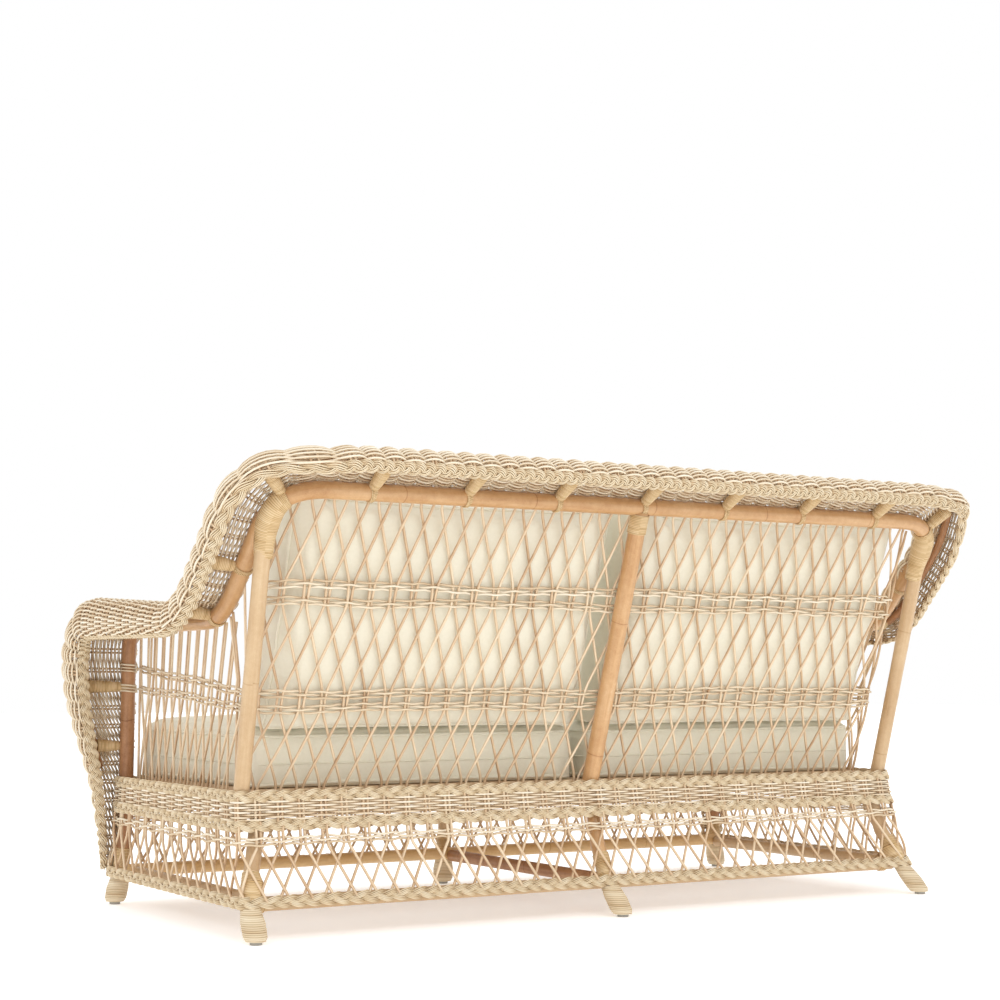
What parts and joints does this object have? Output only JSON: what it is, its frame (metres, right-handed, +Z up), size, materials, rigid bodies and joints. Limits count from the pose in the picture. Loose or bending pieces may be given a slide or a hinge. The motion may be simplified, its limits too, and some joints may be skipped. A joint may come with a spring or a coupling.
{
  "type": "cane garden sofa",
  "caption": "Pole-framed cane garden sofa with a woven rolled collar round back and arms, open lattice sides and skirt, wrapped feet and loose cushions.",
  "frame": {"origin": "middle of the footprint box, on the floor under the glides", "axes": "+X to the sitter's left along the sofa, +Y to the back, +Z up"},
  "size_m": [1.7796, 0.914, 0.8515],
  "materials": {
    "woven_cane": "dry split cane, matt",
    "varnished_pole": "varnished cane pole, satin",
    "peeled_pole": "peeled cane pole, satin",
    "bark_pole": "cane pole with its bark, satin",
    "cane_wrap": "wound cane strip, satin",
    "cushion_cover": "plain woven cotton",
    "glide": "matt"
  },
  "bodies": {
    "frame": {"back_hoop": "varnished_pole", "seat_frame": "peeled_pole", "seat_deck": "peeled_pole", "centre_post": "varnished_pole", "corner_post_left": "peeled_pole", "corner_post_right": "peeled_pole", "front_post_left": "bark_pole", "front_post_right": "bark_pole", "rear_leg_left": "peeled_pole", "rear_leg_right": "peeled_pole", "rear_leg_centre": "peeled_pole", "front_leg_centre": "peeled_pole", "glide_rear_left": "glide", "glide_rear_centre": "glide", "glide_rear_right": "glide", "glide_front_left": "glide", "glide_front_centre": "glide", "glide_front_right": "glide", "bottom_rail_rear": "varnished_pole", "bottom_rail_front": "varnished_pole", "bottom_rail_left": "varnished_pole", "bottom_rail_right": "varnished_pole", "middle_stretcher": "varnished_pole", "woven_collar": "woven_cane", "rim_pole": "bark_pole", "top_bracket_1": "cane_wrap", "top_bracket_2": "cane_wrap", "top_bracket_3": "cane_wrap", "top_bracket_4": "cane_wrap", "top_bracket_5": "cane_wrap", "top_bracket_6": "cane_wrap", "top_bracket_7": "cane_wrap", "corner_bracket_left": "cane_wrap", "corner_bracket_right": "cane_wrap", "slope_bracket_left": "cane_wrap", "slope_bracket_right": "cane_wrap", "arm_bracket_left": "cane_wrap", "arm_bracket_right": "cane_wrap", "wing_bracket_upper_left": "cane_wrap", "wing_bracket_upper_right": "cane_wrap", "wing_bracket_lower_left": "cane_wrap", "wing_bracket_lower_right": "cane_wrap", "woven_band": "woven_cane", "bottom_braid": "woven_cane", "back_lattice": "woven_cane", "side_lattice_left": "woven_cane", "side_lattice_right": "woven_cane", "skirt_lattice_rear": "woven_cane", "skirt_lattice_front": "woven_cane", "skirt_lattice_left": "woven_cane", "skirt_lattice_right": "woven_cane"},
    "seat_cushion_left": {"seat_cushion_left": "cushion_cover"},
    "seat_cushion_right": {"seat_cushion_right": "cushion_cover"},
    "back_cushion_left": {"back_cushion_left": "cushion_cover"},
    "back_cushion_right": {"back_cushion_right": "cushion_cover"}
  },
  "joints": [
    {"name": "back_cushion_left_lift", "type": "slide", "parent": "frame", "child": "back_cushion_left", "axis": [0, 0, 1], "range_m": [0, 0.5]},
    {"name": "seat_cushion_left_pull", "type": "slide", "parent": "frame", "child": "seat_cushion_left", "axis": [0, -1, 0], "range_m": [0, 0.62]},
    {"name": "back_cushion_right_lift", "type": "slide", "parent": "frame", "child": "back_cushion_right", "axis": [0, 0, 1], "range_m": [0, 0.5]},
    {"name": "seat_cushion_right_pull", "type": "slide", "parent": "frame", "child": "seat_cushion_right", "axis": [0, -1, 0], "range_m": [0, 0.62]}
  ]
}
